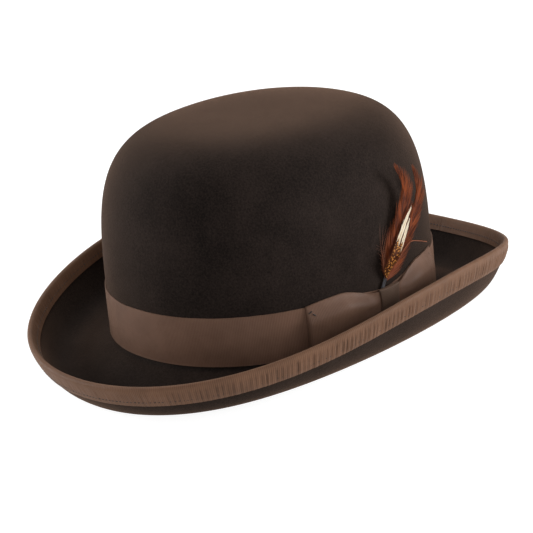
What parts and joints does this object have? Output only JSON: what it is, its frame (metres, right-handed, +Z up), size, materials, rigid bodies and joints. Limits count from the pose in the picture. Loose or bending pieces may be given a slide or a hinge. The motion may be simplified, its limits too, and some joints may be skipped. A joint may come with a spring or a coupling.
{
  "type": "bowler hat",
  "caption": "Round-crowned felt hat with a curled, ribbon-bound brim, a ribbon band with a flat side bow, and a feather bunch that pulls out from behind the knot.",
  "frame": {"origin": "on the surface the hat rests on, below the middle of the hat", "axes": "+Z up; -Y towards the wearer's front; +X towards the wearer's left, the side with the bow and the feathers"},
  "size_m": [0.2464, 0.3132, 0.137],
  "materials": {
    "felt_body": "matte",
    "brim_binding": "matte",
    "binding_thread": "matte",
    "hat_band": "matte",
    "bow_front_loop": "matte",
    "bow_rear_loop": "matte",
    "bow_knot": "matte",
    "bow_front_tack": "matte",
    "bow_rear_tack": "matte",
    "feather_stem": "matte",
    "feather_long_front": "matte",
    "feather_long_rear": "matte",
    "feather_white_front": "matte",
    "feather_white_rear": "matte",
    "feather_spotted": "matte",
    "feather_wisps": "matte",
    "sweatband": "satin",
    "sweatband_reed": "satin",
    "sweatband_reed_tape": "matte",
    "sweatband_thread": "matte",
    "sweatband_seam_thread": "matte",
    "sweatband_bow_left": "matte",
    "sweatband_bow_right": "matte",
    "sweatband_bow_knot": "matte",
    "lining_side": "satin",
    "lining_tip": "satin",
    "lining_piping": "satin"
  },
  "bodies": {
    "hat": {"felt_body": "felt_body", "brim_binding": "brim_binding", "binding_thread": "binding_thread", "hat_band": "hat_band", "bow_front_loop": "bow_front_loop", "bow_rear_loop": "bow_rear_loop", "bow_knot": "bow_knot", "bow_front_tack": "bow_front_tack", "bow_rear_tack": "bow_rear_tack", "sweatband": "sweatband", "sweatband_reed": "sweatband_reed", "sweatband_reed_tape": "sweatband_reed_tape", "sweatband_thread": "sweatband_thread", "sweatband_seam_thread": "sweatband_seam_thread", "sweatband_bow_left": "sweatband_bow_left", "sweatband_bow_right": "sweatband_bow_right", "sweatband_bow_knot": "sweatband_bow_knot", "lining_side": "lining_side", "lining_tip": "lining_tip", "lining_piping": "lining_piping"},
    "feather": {"feather_stem": "feather_stem", "feather_long_front": "feather_long_front", "feather_long_rear": "feather_long_rear", "feather_white_front": "feather_white_front", "feather_white_rear": "feather_white_rear", "feather_spotted": "feather_spotted", "feather_wisps": "feather_wisps"}
  },
  "joints": [
    {"name": "feather_pull", "type": "slide", "parent": "hat", "child": "feather", "axis": [-0.0141, 0.4998, 0.866], "range_m": [0, 0.02]}
  ]
}
